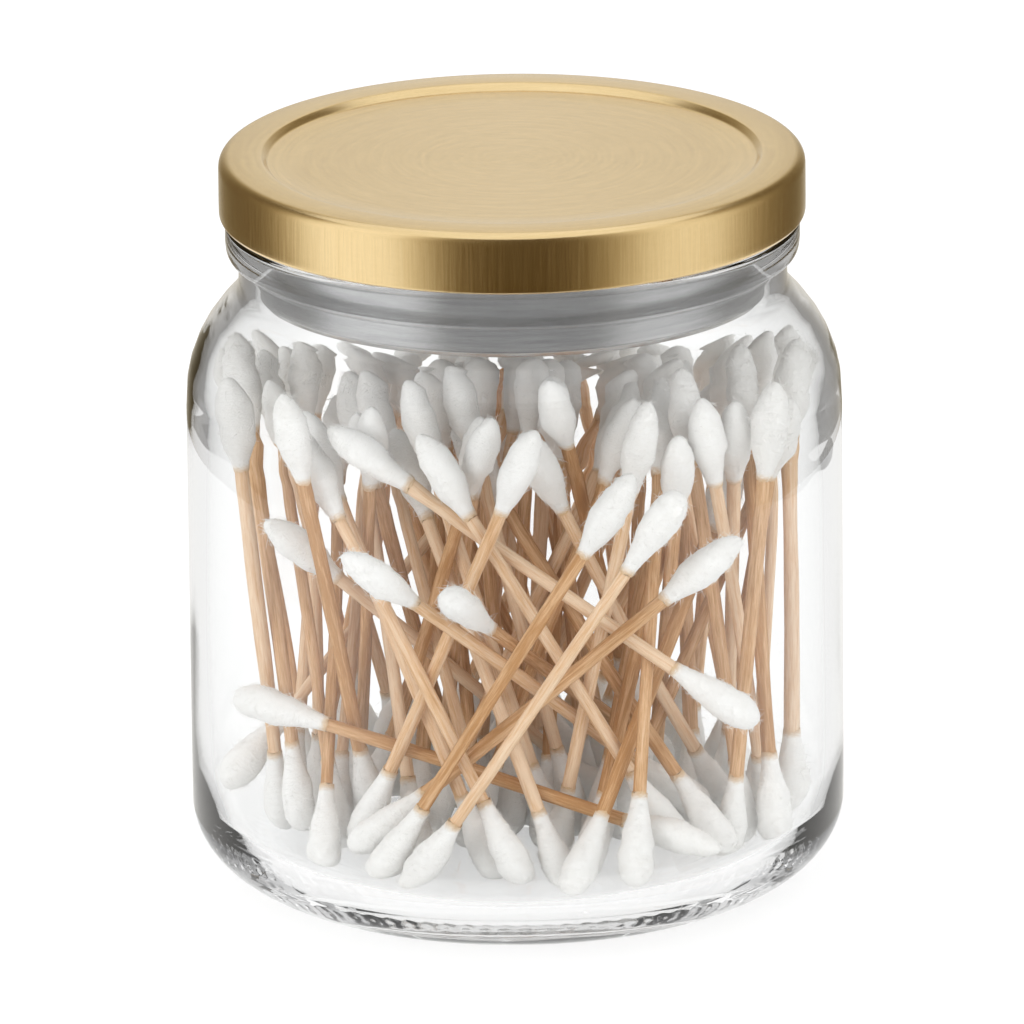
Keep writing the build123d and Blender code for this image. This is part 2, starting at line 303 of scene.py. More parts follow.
# Materials: brushing as noise cells in a metre, or in a turn, and heights in metres
SPUN_LINES = 1500.0
SPUN_TURN = 2.2
UPRIGHT_LINES = 150.0
UPRIGHT_RISE = 90.0
BRUSH_LOW = (LID_TOP - 2.1) * MM
BRUSH_HIGH = (LID_TOP - 1.1) * MM
PLUG_LINES = 1400.0
PLUG_TURN = 3.0
CLOUD_SHARE = 0.25
PORE_SHARE = 0.4
TONE_SHARE = 0.16
BARE_WOOD = (0.72, 0.50, 0.29, 1)


def kit_of(tree):
    """A function that adds a node to a tree, with its settings and inputs, as node_kit's does."""

    def add(kind, settings=None, **inputs):
        node = tree.nodes.new(kind)
        for key, value in (settings or {}).items():
            setattr(node, key, value)
        for key, value in inputs.items():
            numbered = key[0] == "i" and key[1:].isdigit()
            socket = node.inputs[int(key[1:])] if numbered else node.inputs[key.replace("_", " ")]
            if isinstance(value, bpy.types.NodeSocket):
                tree.links.new(value, socket)
            else:
                socket.default_value = value
        return node

    return add


def node_kit(name):
    """A new material with its output node, and functions that add and join nodes."""
    material = bpy.data.materials.new(name)
    material.use_nodes = True
    tree = material.node_tree
    tree.nodes.clear()

    add = kit_of(tree)
    output = add("ShaderNodeOutputMaterial")
    return material, tree, add, output


def maths(add, kind, *values):
    """The output of a Math node."""
    node = add("ShaderNodeMath", {"operation": kind})
    for number, value in enumerate(values):
        if isinstance(value, bpy.types.NodeSocket):
            node.id_data.links.new(value, node.inputs[number])
        else:
            node.inputs[number].default_value = value
    return node.outputs[0]


def blend(add, main, other, share):
    """A main value with a share of another in it."""
    rest = maths(add, "MULTIPLY", main, 1 - share)
    return maths(add, "ADD", rest, maths(add, "MULTIPLY", other, share))


def ramp(add, factor, stops, mode="LINEAR"):
    """A colour ramp with stops of (place, colour)."""
    node = add("ShaderNodeValToRGB", None, i0=factor)
    node.color_ramp.interpolation = mode
    elements = node.color_ramp.elements
    while len(elements) < len(stops):
        elements.new(0.5)
    for element, (place, colour) in zip(elements, stops):
        element.position = place
        element.color = (*colour, 1) if len(colour) == 3 else (colour[0],) * 3 + (1,)
    return node.outputs["Color"]


def glass_material():
    """Clear glass, which light for matt surfaces and shadows passes straight through."""
    material, tree, add, output = node_kit("clear_glass")
    glass = add(
        "ShaderNodeBsdfPrincipled",
        Base_Color=(0.985, 0.99, 0.99, 1),
        Roughness=0.0,
        IOR=1.5,
        Transmission_Weight=1.0,
    )
    ray = add("ShaderNodeLightPath")
    clear = add("ShaderNodeBsdfTransparent", Color=(0.95, 0.955, 0.955, 1))
    straight = maths(add, "MAXIMUM", ray.outputs["Is Shadow Ray"], ray.outputs["Is Diffuse Ray"])
    mixed = add("ShaderNodeMixShader", None, i0=straight, i1=glass.outputs[0], i2=clear.outputs[0])
    tree.links.new(mixed.outputs[0], output.inputs["Surface"])
    return material


def polar(add):
    """Radius, cosine, sine and height sockets, in metres, of a point in its object's own frame."""
    place = add("ShaderNodeTexCoord").outputs["Object"]
    split = add("ShaderNodeSeparateXYZ", None, Vector=place)
    x, y, z = split.outputs
    squares = maths(add, "ADD", maths(add, "MULTIPLY", x, x), maths(add, "MULTIPLY", y, y))
    radius = maths(add, "SQRT", squares)
    safe = maths(add, "MAXIMUM", radius, 1e-5)
    return radius, maths(add, "DIVIDE", x, safe), maths(add, "DIVIDE", y, safe), z


def brushing(add, detail, *places):
    """Noise drawn out into lines, from three sockets that are each scaled: (socket, cells)."""
    x, y, z = (maths(add, "MULTIPLY", place, cells) for place, cells in places)
    drawn = add("ShaderNodeCombineXYZ", None, X=x, Y=y, Z=z).outputs[0]
    lines = add("ShaderNodeTexNoise", None, Vector=drawn, Scale=1.0, Detail=detail, Roughness=0.6)
    return lines.outputs[0]


def gold_material():
    """Gold metal with a thin clear coat, brushed in rings on top and upright round the skirt."""
    material, tree, add, output = node_kit("gold_lid")
    radius, cosine, sine, height = polar(add)
    rings = brushing(add, 3.0, (radius, SPUN_LINES), (cosine, SPUN_TURN), (sine, SPUN_TURN))
    strokes = brushing(add, 2.0, (cosine, UPRIGHT_LINES), (sine, UPRIGHT_LINES), (height, UPRIGHT_RISE))
    edge = add(
        "ShaderNodeMapRange",
        {"interpolation_type": "SMOOTHSTEP"},
        Value=height,
        From_Min=BRUSH_LOW,
        From_Max=BRUSH_HIGH,
    )
    brush = add("ShaderNodeMix", {"data_type": "FLOAT"}, i0=edge.outputs[0], i2=strokes, i3=rings)
    depth = add("ShaderNodeMapRange", None, Value=edge.outputs[0], To_Min=0.013, To_Max=0.14)
    bump = add(
        "ShaderNodeBump", None, Strength=depth.outputs[0], Distance=0.0002, Height=brush.outputs[0]
    )
    cloud = add("ShaderNodeTexNoise", None, Scale=60.0, Detail=2.0).outputs[0]
    shade = add(
        "ShaderNodeMapRange",
        None,
        Value=brush.outputs[0],
        From_Min=0.3,
        From_Max=0.7,
        To_Min=0.2,
        To_Max=0.26,
    )
    tone = blend(add, brush.outputs[0], cloud, CLOUD_SHARE)
    colour = ramp(add, tone, [(0.3, (0.87, 0.64, 0.31)), (0.7, (0.99, 0.76, 0.40))])
    tangent = add("ShaderNodeTangent", {"direction_type": "RADIAL", "axis": "Z"})
    metal = add(
        "ShaderNodeBsdfPrincipled",
        None,
        Base_Color=colour,
        Metallic=1.0,
        Roughness=shade.outputs[0],
        Anisotropic=0.5,
        Normal=bump.outputs[0],
        Tangent=tangent.outputs[0],
        Coat_Weight=0.8,
        Coat_Roughness=0.12,
    )
    tree.links.new(metal.outputs[0], output.inputs["Surface"])
    return material


def plug_material():
    """Grey with a sheen like metal and fine lines round it."""
    material, tree, add, output = node_kit("grey_plug")
    _, cosine, sine, height = polar(add)
    lines = brushing(add, 3.0, (height, PLUG_LINES), (cosine, PLUG_TURN), (sine, PLUG_TURN))
    bump = add("ShaderNodeBump", None, Strength=0.12, Distance=0.0002, Height=lines)
    colour = ramp(add, lines, [(0.3, (0.48, 0.48, 0.485)), (0.7, (0.62, 0.62, 0.62))])
    shell = add(
        "ShaderNodeBsdfPrincipled",
        None,
        Base_Color=colour,
        Metallic=0.9,
        Roughness=0.24,
        Normal=bump.outputs[0],
    )
    tree.links.new(shell.outputs[0], output.inputs["Surface"])
    return material


def seal_material():
    """Pale rubber with a fine grain."""
    material, tree, add, output = node_kit("clear_seal")
    grain = add("ShaderNodeTexNoise", None, Scale=900.0, Detail=2.0)
    bump = add("ShaderNodeBump", None, Strength=0.1, Distance=0.0001, Height=grain.outputs[0])
    colour = ramp(add, grain.outputs[0], [(0.3, (0.55, 0.55, 0.54)), (0.7, (0.62, 0.62, 0.61))])
    soft = add(
        "ShaderNodeBsdfPrincipled",
        None,
        Base_Color=colour,
        Roughness=0.45,
        Normal=bump.outputs[0],
    )
    tree.links.new(soft.outputs[0], output.inputs["Surface"])
    return material


def grain_noise(add, stretch, **settings):
    """Noise on the grain coordinates of a swab, in millimetres, with a cell size for each way."""
    place = add("ShaderNodeAttribute", {"attribute_name": "grain"}).outputs["Vector"]
    way = add("ShaderNodeMapping", None, Vector=place, **stretch)
    return add("ShaderNodeTexNoise", None, Vector=way.outputs[0], Scale=1.0, **settings).outputs[0]


def wood_material():
    """Bare pale wood: long streaks, fine pores and a tone for each stick."""
    material, tree, add, output = node_kit("birch")
    tone = add("ShaderNodeAttribute", {"attribute_name": "tone"}).outputs["Fac"]
    streaks = grain_noise(add, {"Scale": (1.6, 1.6, 0.09)}, Detail=4.0, Roughness=0.65)
    pores = grain_noise(add, {"Scale": (6.0, 6.0, 0.35)}, Detail=3.0, Roughness=0.6)
    mixed = blend(add, streaks, pores, PORE_SHARE)
    value = maths(add, "ADD", mixed, maths(add, "MULTIPLY", tone, TONE_SHARE))
    colour = ramp(
        add,
        value,
        [(0.34, (0.50, 0.26, 0.105)), (0.5, (0.72, 0.455, 0.255)), (0.68, (0.86, 0.65, 0.46))],
    )
    bump = add("ShaderNodeBump", None, Strength=0.5, Distance=0.00012, Height=pores)
    wood = add(
        "ShaderNodeBsdfPrincipled",
        None,
        Base_Color=colour,
        Roughness=0.62,
        Specular_IOR_Level=0.3,
        Normal=bump.outputs[0],
    )
    tree.links.new(wood.outputs[0], output.inputs["Surface"])
    return material


def cotton_material():
    """Wound cotton with soft wisps, thin over the stick at its neck, where the wood shows through."""
    material, tree, add, output = node_kit("cotton_wool")
    wound = {"Scale": (1.1, 1.1, 2.2), "Rotation": (0.5, 0.2, 0)}
    wisps = grain_noise(add, wound, Detail=6.0, Roughness=0.75, Distortion=1.2)
    colour = ramp(add, wisps, [(0.3, (0.92, 0.905, 0.88)), (0.6, (0.985, 0.975, 0.955))])
    bump = add("ShaderNodeBump", None, Strength=0.8, Distance=0.0003, Height=wisps)
    cover = add("ShaderNodeAttribute", {"attribute_name": "tone"}).outputs["Fac"]
    uneven = maths(add, "ADD", cover, maths(add, "SUBTRACT", wisps, 0.5))
    smooth = {"interpolation_type": "SMOOTHSTEP"}
    thick = add("ShaderNodeMapRange", smooth, Value=uneven, From_Min=-0.05, From_Max=0.75)
    blended = add("ShaderNodeMix", {"data_type": "RGBA"}, i0=thick.outputs[0], i6=BARE_WOOD, i7=colour)
    wool = add(
        "ShaderNodeBsdfPrincipled",
        None,
        Base_Color=blended.outputs[2],
        Roughness=1.0,
        Specular_IOR_Level=0.0,
        Sheen_Weight=0.3,
        Sheen_Roughness=0.5,
        Normal=bump.outputs[0],
    )
    tree.links.new(wool.outputs[0], output.inputs["Surface"])
    return material


# Glass jar
def shoulder(radius, crown_round, sweep_round, neck_radius):
    """Ends of a shoulder's arcs: crown end, sweep start and neck start, as (radius, height)."""
    turn = math.radians(SHOULDER_TURN)
    crown_radius = radius - crown_round * (1 - math.cos(turn))
    crown_end = (crown_radius, SHOULDER_BOTTOM + crown_round * math.sin(turn))
    flat_in = crown_end[0] - neck_radius - sweep_round * (1 - math.cos(turn))
    sweep_start = (crown_end[0] - flat_in, crown_end[1] + flat_in / math.tan(turn))
    return crown_end, sweep_start, (neck_radius, sweep_start[1] + sweep_round * math.sin(turn))


def jar_outline():
    """Outline of the jar's section, from the axis under the base round the rim to the axis inside."""
    outer_neck = shoulder(BODY_RADIUS, CROWN_ROUND, SWEEP_ROUND, NECK_RADIUS)[2]
    inner_neck = shoulder(INNER_RADIUS, INNER_CROWN_ROUND, INNER_SWEEP_ROUND, BORE_RADIUS)[2]
    dish_edge, dish_depth = FOOT_RADIUS - FOOT_WIDTH, PUSH_UP - FOOT_STEP
    dish_radius = (dish_edge**2 + dish_depth**2) / (2 * dish_depth)
    dish_turn = math.degrees(math.asin(dish_edge / dish_radius))
    dish = arc((0, PUSH_UP - dish_radius), dish_radius, 90, -dish_turn, 1)
    turns = np.radians(np.linspace(-90, 0, 40))
    heel_width = BODY_RADIUS - FOOT_RADIUS
    heel = [(FOOT_RADIUS + heel_width * math.cos(a), HEEL_HEIGHT + HEEL_HEIGHT * math.sin(a)) for a in turns]
    heel_top = BASE_THICKNESS + INNER_HEEL_ROUND
    crown_centre = (INNER_RADIUS - INNER_CROWN_ROUND, SHOULDER_BOTTOM)
    sweep_centre = (NECK_RADIUS + SWEEP_ROUND, outer_neck[1])
    half_rim = (FINISH_RADIUS - BORE_RADIUS) / 2
    return (
        dish
        + [(dish_edge + FOOT_STEP / 2, 0)]
        + heel
        + arc((BODY_RADIUS - CROWN_ROUND, SHOULDER_BOTTOM), CROWN_ROUND, 0, SHOULDER_TURN)
        + arc(sweep_centre, SWEEP_ROUND, 180 + SHOULDER_TURN, -SHOULDER_TURN)
        + arc((NECK_RADIUS, BEAD_BOTTOM + FLANK_RISE), FLANK_RISE, -90, FLANK_TURN)
        + [(BEAD_RADIUS, BEAD_BOTTOM + FLANK_RISE), (BEAD_RADIUS, BEAD_TOP - BEAD_CORNER)]
        + [(BEAD_RADIUS - BEAD_CORNER, BEAD_TOP), (FINISH_RADIUS, BEAD_TOP)]
        + [(FINISH_RADIUS, RIM_TOP - RIM_CORNER), (FINISH_RADIUS - half_rim, RIM_TOP)]
        + [(BORE_RADIUS, RIM_TOP - RIM_CORNER)]
        + arc((BORE_RADIUS + INNER_SWEEP_ROUND, inner_neck[1]), INNER_SWEEP_ROUND, 180, SHOULDER_TURN)
        + arc(crown_centre, INNER_CROWN_ROUND, SHOULDER_TURN, -SHOULDER_TURN)
        + arc((INNER_RADIUS - INNER_HEEL_ROUND, heel_top), INNER_HEEL_ROUND, 0, -90)
        + [(0, BASE_THICKNESS)]
    )


def crescents(grid, inside_heel):
    """How far each point is raised by the row of crescents round the inside of the heel."""
    radius = np.hypot(grid[..., 0], grid[..., 1])
    angle = np.arctan2(grid[..., 1], grid[..., 0])
    across = (radius - CRESCENT_RADIUS) / CRESCENT_REACH
    bowed = angle * CRESCENTS / (2 * math.pi) + CRESCENT_BOW * across**2
    ridge = np.maximum(np.cos(2 * math.pi * bowed), CRESCENT_VALLEY)
    ends = np.clip(2 - 2 * np.abs(across), 0, 1)
    return np.where(inside_heel[:, None], CRESCENT_HEIGHT * ridge * ends, 0)


def inner_heel(outline):
    """Which rows of the jar's outline are on the inside of its heel or base."""
    past_rim = np.arange(len(outline)) > outline[:, 1].argmax()
    return past_rim & (outline[:, 1] < BASE_THICKNESS + INNER_HEEL_ROUND)


def crescent_rows(outline):
    """The outline with closer rows where the crescents are."""
    near = np.abs(outline[:, 0] - CRESCENT_RADIUS) < CRESCENT_REACH + 1
    first, last = np.flatnonzero(inner_heel(outline) & near)[[0, -1]]
    steps = np.linspace(first, last, CRESCENT_ROWS)
    band = np.stack([np.interp(steps, np.arange(len(outline)), outline[:, i]) for i in (0, 1)], 1)
    return np.vstack([outline[:first], band, outline[last + 1 :]])


def glass_jar():
    """The jar, with an uneven inside that fades out towards the bore and the middle of the base."""
    outline = crescent_rows(soften(jar_outline(), GLASS_SOFTNESS))
    top = int(outline[:, 1].argmax())
    grid = turned(outline, JAR_SIDES)
    inside = np.zeros(len(outline))
    inside[top:] = np.clip((WAVE_END - outline[top:, 1]) / WAVE_FADE, 0, 1)
    inside[top:] *= np.clip(outline[top:, 0] / (2 * WAVE_FADE), 0, 1)
    push = WAVE_HEIGHT * waves(grid * (1, 1, 0.6), WAVE_LENGTH, SEED) * inside[:, None]
    near_shoulder = np.clip(1 - np.abs(outline[:, 1] - SHOULDER_BOTTOM) / RIPPLE_REACH, 0, 1) * inside
    push += RIPPLE_HEIGHT * waves(grid, RIPPLE_LENGTH, SEED + 1) * near_shoulder[:, None]
    outward = grid[..., :2] / np.maximum(np.hypot(grid[..., 0], grid[..., 1]), 1e-6)[..., None]
    grid[..., :2] += outward * push[..., None]
    inside_heel = inner_heel(outline)
    grid[..., 2] -= HEEL_SINK * np.abs(push) * inside_heel[:, None]
    grid[..., 2] += crescents(grid, inside_heel)
    made = make_mesh("clear_jar", grid, turned_faces(outline, JAR_SIDES))
    tidy_axis(made)
    return made


# Lid
def lid_outline():
    """Outline of the shell's section, from the axis on top round the hem to the axis underneath."""
    panel_top, corner = LID_TOP - PANEL_DROP, (LID_RADIUS - LID_ROUND, LID_TOP - LID_ROUND)
    hem_inside, sheet_inside = LID_RADIUS - HEM_SIZE, LID_RADIUS - SHEET
    hem_top, under = LID_BOTTOM + HEM_SIZE, PANEL_RADIUS + SHEET / 2
    return (
        [(0, panel_top), (PANEL_RADIUS, panel_top), (PANEL_RADIUS + PANEL_FLARE, LID_TOP)]
        + arc(corner, LID_ROUND, 90, -90)
        + [(LID_RADIUS, LID_BOTTOM + HEM_BEVEL), (LID_RADIUS - HEM_BEVEL, LID_BOTTOM)]
        + [(hem_inside + HEM_BEVEL, LID_BOTTOM), (hem_inside, LID_BOTTOM + HEM_BEVEL)]
        + [(hem_inside, hem_top - HEM_BEVEL), (sheet_inside, hem_top + HEM_BEVEL)]
        + arc(corner, LID_ROUND - SHEET, 0, 90)
        + [(under + PANEL_FLARE, LID_TOP - SHEET), (under, panel_top - SHEET)]
        + [(0, panel_top - SHEET)]
    )


def lid_shell():
    outline = soften(lid_outline(), LID_SOFTNESS)[::-1]
    made = make_mesh("gold_shell", turned(outline, LID_SIDES), turned_faces(outline, LID_SIDES))
    tidy_axis(made)
    return made


def plug_outline():
    """Outline of the plug's section: a cup with a groove for the ring and a flange on the rim."""
    groove_top, groove_radius = GROOVE_BOTTOM + GROOVE_HEIGHT, PLUG_RADIUS - GROOVE_DEPTH
    top, inside = LID_TOP - PANEL_DROP - SHEET, PLUG_RADIUS - PLUG_WALL
    return [
        (0, PLUG_BOTTOM),
        (PLUG_RADIUS - PLUG_BEVEL, PLUG_BOTTOM),
        (PLUG_RADIUS, PLUG_BOTTOM + PLUG_BEVEL),
        (PLUG_RADIUS, GROOVE_BOTTOM),
        (groove_radius, GROOVE_BOTTOM),
        (groove_radius, groove_top),
        (PLUG_RADIUS, groove_top),
        (PLUG_RADIUS, RIM_TOP),
        (FLANGE_RADIUS, RIM_TOP),
        (FLANGE_RADIUS, top),
        (inside, top),
        (inside, PLUG_BOTTOM + PLUG_FLOOR),
        (0, PLUG_BOTTOM + PLUG_FLOOR),
    ]


def lid_plug():
    outline = soften(plug_outline(), PLUG_SOFTNESS)
    made = make_mesh("moulded_plug", turned(outline, LID_SIDES), turned_faces(outline, LID_SIDES))
    tidy_axis(made)
    return made


def seal_ring():
    """A band in the plug's groove with two lips."""
    low, high = GROOVE_BOTTOM + RING_SLACK, GROOVE_BOTTOM + GROOVE_HEIGHT - RING_SLACK
    inner, lip = PLUG_RADIUS - GROOVE_DEPTH + RING_SLACK, (high - low) / 4
    corners = [(inner, low), (RING_VALLEY, low), (RING_REACH, low + lip), (RING_VALLEY, low + 2 * lip)]
    corners += [(RING_REACH, low + 3 * lip), (RING_VALLEY, high), (inner, high)]
    outline = soften(corners, RING_SOFTNESS, closed=True)
    faces = turned_faces(outline, LID_SIDES, closed=True)
    return make_mesh("lip_ring", turned(outline, LID_SIDES), faces)


# Swabs
def islands(node):
    """The points, in millimetres, of each separate solid in a node."""
    mesh = nodes[node].data
    points = np.empty(len(mesh.vertices) * 3)
    mesh.vertices.foreach_get("co", points)
    places, merged = np.unique(np.round(points.reshape(-1, 3) / MM, 3), axis=0, return_inverse=True)
    merged = merged.ravel()
    edges = np.empty(len(mesh.edges) * 2, int)
    mesh.edges.foreach_get("vertices", edges)
    one, two = merged[edges].reshape(-1, 2).T
    label = np.arange(len(places))
    while True:
        low = np.minimum(label[one], label[two])
        renewed = label.copy()
        np.minimum.at(renewed, one, low)
        np.minimum.at(renewed, two, low)
        if (renewed == label).all():
            break
        label = renewed
    return [places[label == mark] for mark in np.unique(label)]


def swab_axes(name):
    """For each swab of a pair of nodes, its blunt end and its pointed end, as its solids have them."""
    tips = islands(f"{name}_cotton")
    middles = np.array([tip.mean(0) for tip in tips])
    found = []
    for stick in islands(f"{name}_stick"):
        centre = stick.mean(0)
        along = np.linalg.svd(stick - centre, full_matrices=False)[2][0]
        noses = []
        for side in (-1, 1):
            end = centre + side * along * (SWAB_LENGTH - TIP_LENGTH) / 2
            tip = tips[int(np.linalg.norm(middles - end, axis=1).argmin())]
            reach = (tip - centre) @ along * side
            cap = tip[reach > reach.max() - NOSE_CAP] - centre
            noses.append(np.linalg.norm(cap - np.outer(cap @ along, along), axis=1).max())
        blunt_side = -1 if noses[0] > noses[1] else 1
        reach = along * SWAB_LENGTH / 2 * blunt_side
        found.append((centre + reach, centre - reach))
    return found


def swab_frame(start, end):
    """Three unit vectors for a swab: two across it and one along it."""
    along = (end - start) / np.linalg.norm(end - start)
    across = np.cross(along, ASIDE)
    across /= np.linalg.norm(across)
    return np.stack([across, np.cross(along, across), along])


def bow_at(place, bend):
    """Sideways shift of a swab's middle line at a distance from its blunt end: a long bow and a kink."""
    size, turn, kink, kink_turn = bend
    bow = size * np.sin(math.pi * place / SWAB_LENGTH)
    twist = kink * np.sin(2 * math.pi * place / SWAB_LENGTH)
    x = bow * math.cos(turn) + twist * math.cos(kink_turn)
    y = bow * math.sin(turn) + twist * math.sin(kink_turn)
    return np.stack([x, y], -1)


def bows(rng):
    """A swab's bow and kink, each as its size and the way that it points."""
    bow, bow_turn = rng.uniform(*BOW_SIZES) * BOW, rng.uniform(0, 2 * math.pi)
    kink, kink_turn = rng.uniform(*KINK_SIZES) * BOW, rng.uniform(0, 2 * math.pi)
    return bow, bow_turn, kink, kink_turn


def stick_points(bend, rng):
    """A stick in the swab's own frame, sunk into both tips, with flats and dents of turned wood."""
    low = TIP_LENGTH - STICK_SINK
    places = np.linspace(low, SWAB_LENGTH - low, STICK_ROWS)
    angles = np.linspace(0, 2 * math.pi, STICK_SIDES, endpoint=False)
    middle = bow_at(places, bend)
    own_girth = rng.uniform(*STICK_GIRTHS)
    flats = 1 + sum(depth * np.cos(count * angles + rng.uniform(0, 6)) for count, depth in STICK_FLATS)
    knots = np.linspace(low, SWAB_LENGTH - low, STICK_KNOTS)
    girth = 1 + STICK_UNEVEN * np.interp(places, knots, rng.normal(size=STICK_KNOTS))
    radius = STICK_RADIUS * own_girth * girth[:, None] * flats[None, :]
    x = middle[:, :1] + radius * np.cos(angles)
    y = middle[:, 1:] + radius * np.sin(angles)
    return np.stack([x, y, places[:, None] + 0 * x], -1)


def tip_radius(place, pointed):
    """Radius of a wound tip at a distance from its nose."""
    widest = POINTED_WIDEST if pointed else BLUNT_WIDEST
    nose = np.clip(place / widest, 0, 1)
    if pointed:
        front = np.sqrt(np.clip(1 - (1 - nose) ** POINTED_CURVE, 0, 1)) ** POINTED_LEAN
    else:
        front = np.sqrt(np.clip(1 - (1 - nose) ** BLUNT_CURVE, 0, 1))
    back = np.clip((place - widest) / (TIP_LENGTH - widest), 0, 1)
    taper = 0.5 + 0.5 * np.cos(math.pi * back**NECK_CURVE)
    return np.where(place < widest, TIP_RADIUS * front, NECK_WIDTH + (TIP_RADIUS - NECK_WIDTH) * taper)


def tip_points(pointed, bend, rng, rows, sides):
    """A tip in the swab's own frame, from its nose to its neck, with soft lumps."""
    spread = np.linspace(0, 1, rows)
    places = TIP_LENGTH * (NOSE_SPREAD * spread + (1 - NOSE_SPREAD) * spread**2)
    angles = np.linspace(0, 2 * math.pi, sides, endpoint=False)
    lean = rng.uniform(-TIP_OFFSET, TIP_OFFSET, 2)
    radius = tip_radius(places, pointed)[:, None] * (1 + 0 * angles)
    x, y = radius * np.cos(angles), radius * np.sin(angles)
    points = np.stack([x, y, places[:, None] + 0 * x], -1)
    lumps = waves(points, LUMP_LENGTH, rng.integers(1 << 30))
    lumps += PLEAT_SHARE * waves(points, PLEAT_LENGTH, rng.integers(1 << 30))
    size = 1 + LUMP * lumps * np.clip(radius / TIP_RADIUS, 0, 1)
    points[..., :2] *= size[..., None]
    points[..., :2] += lean * (1 - spread)[:, None, None]
    ragged = sum(depth * np.cos(count * angles + rng.uniform(0, 6)) for count, depth in NECK_RAGS)
    at_neck = np.clip((spread[:, None] - NECK_START) / (1 - NECK_START), 0, 1)
    points[..., 2] += NECK_RAG * ragged * at_neck
    if pointed:
        points[..., 2] = SWAB_LENGTH - points[..., 2]
        points = points[:, ::-1]
    points[..., :2] += bow_at(points[..., 2], bend)
    return points


def fibre_parts(points, count, rng):
    """Thin curved fibres that stand off a tip: their points and faces."""
    rows, sides = points.shape[:2]
    row = (rng.uniform(*FIBRE_PLACES, count) * (rows - 2)).astype(int) + 1
    side = rng.integers(0, sides, count)
    root = points[row, side]
    ahead = points[np.minimum(row + 1, rows - 1), side] - points[row - 1, side]
    around = points[row, (side + 1) % sides] - points[row, (side - 1) % sides]
    ahead /= np.linalg.norm(ahead, axis=1, keepdims=True) + 1e-9
    around /= np.linalg.norm(around, axis=1, keepdims=True) + 1e-9
    out = np.cross(around, ahead)
    centre_line = points[row].mean(1)
    out *= np.sign(((root - centre_line) * out).sum(1, keepdims=True) + 1e-9)
    turn = rng.uniform(0, 2 * math.pi, count)[:, None]
    flat = np.cos(turn) * ahead + np.sin(turn) * around
    length = rng.uniform(*FIBRE_LENGTHS, count)[:, None]
    lift = rng.uniform(*FIBRE_LIFTS, count)[:, None]
    curl = rng.normal(0, FIBRE_CURL, (count, 3))
    rings, corners = len(FIBRE_TAPER), len(FIBRE_CORNERS)
    steps = np.linspace(0, 1, rings)[None, :, None]
    start = root - FIBRE_ROOT * out
    drop = lift * rng.uniform(*FIBRE_DROPS, (count, 1))
    path = start[:, None] + steps * (length * flat + lift * FIBRE_RISE * out)[:, None]
    path = path + steps**2 * (length * curl - drop * out)[:, None]
    width = FIBRE_WIDTH * np.array(FIBRE_TAPER)[None, :, None, None]
    corner = np.radians(FIBRE_CORNERS)
    side_way, up_way = np.cross(flat, out), out
    ring = np.cos(corner)[:, None] * side_way[:, None, :] + np.sin(corner)[:, None] * up_way[:, None, :]
    tube = path[:, :, None] + width * ring[:, None]
    base = (np.arange(count) * rings * corners)[:, None]
    faces = (base[:, None] + grid_faces(rings, corners)[None]).reshape(-1, 4).tolist()
    last_ring = (rings - 1) * corners + np.arange(corners)
    faces += np.concatenate([base + np.arange(corners)[::-1], base + last_ring]).tolist()
    return tube.reshape(-1, 3), faces


def end_caps(rows, sides):
    """The first and the last row of a grid, each as one face."""
    last = (rows - 1) * sides
    return [list(range(sides))[::-1], list(range(last, last + sides))]


def swab_meshes(name, swabs, seed):
    """The sticks of some swabs as one object and their cotton as another, with grain coordinates.

    A swab with nodes of its own is in view, and gets finer tips and more fibres.
    """
    rng = np.random.default_rng(seed)
    in_view = len(swabs) == 1
    fibres = FIBRES_IN_VIEW if in_view else FIBRES_BEHIND
    rows, sides = (TIP_ROWS, TIP_SIDES) if in_view else (TIP_ROWS_BEHIND, TIP_SIDES_BEHIND)
    parts = {"birch": [[], [], [], []], "wool": [[], [], [], []]}

    def put(kind, local, faces, tone):
        points, all_faces, grains, tones = parts[kind]
        first = sum(len(p) for p in points)
        flat = local.reshape(-1, 3)
        points.append(start + flat @ axes)
        grains.append(flat + shift)
        tones.append(np.broadcast_to(tone, len(flat)))
        all_faces.extend([[first + v for v in face] for face in faces])

    for start, end in swabs:
        axes, bend = swab_frame(start, end), bows(rng)
        shift = rng.uniform(-GRAIN_SHIFT, GRAIN_SHIFT, 3)
        stick = stick_points(bend, rng)
        faces = grid_faces(STICK_ROWS, STICK_SIDES).tolist() + end_caps(STICK_ROWS, STICK_SIDES)
        put("birch", stick, faces, rng.uniform(-1, 1))
        for pointed in (False, True):
            tip = tip_points(pointed, bend, rng, rows, sides)
            faces = grid_faces(rows, sides).tolist() + end_caps(rows, sides)
            height = tip.reshape(-1, 3)[:, 2]
            from_neck = height - (SWAB_LENGTH - TIP_LENGTH) if pointed else TIP_LENGTH - height
            put("wool", tip, faces, from_neck / NECK_COVER)
            strands, strand_faces = fibre_parts(tip, fibres, rng)
            put("wool", strands, strand_faces, 1)
    made = []
    for kind, (points, faces, grains, tones) in parts.items():
        piece = make_mesh(f"{name}_{kind}", np.concatenate(points), faces, CAP_EDGE)
        grain = piece.data.attributes.new("grain", "FLOAT_VECTOR", "POINT")
        grain.data.foreach_set("vector", np.concatenate(grains).astype(np.float32).ravel())
        tone = piece.data.attributes.new("tone", "FLOAT", "POINT")
        tone.data.foreach_set("value", np.concatenate(tones).astype(np.float32))
        made.append(piece)
    return made


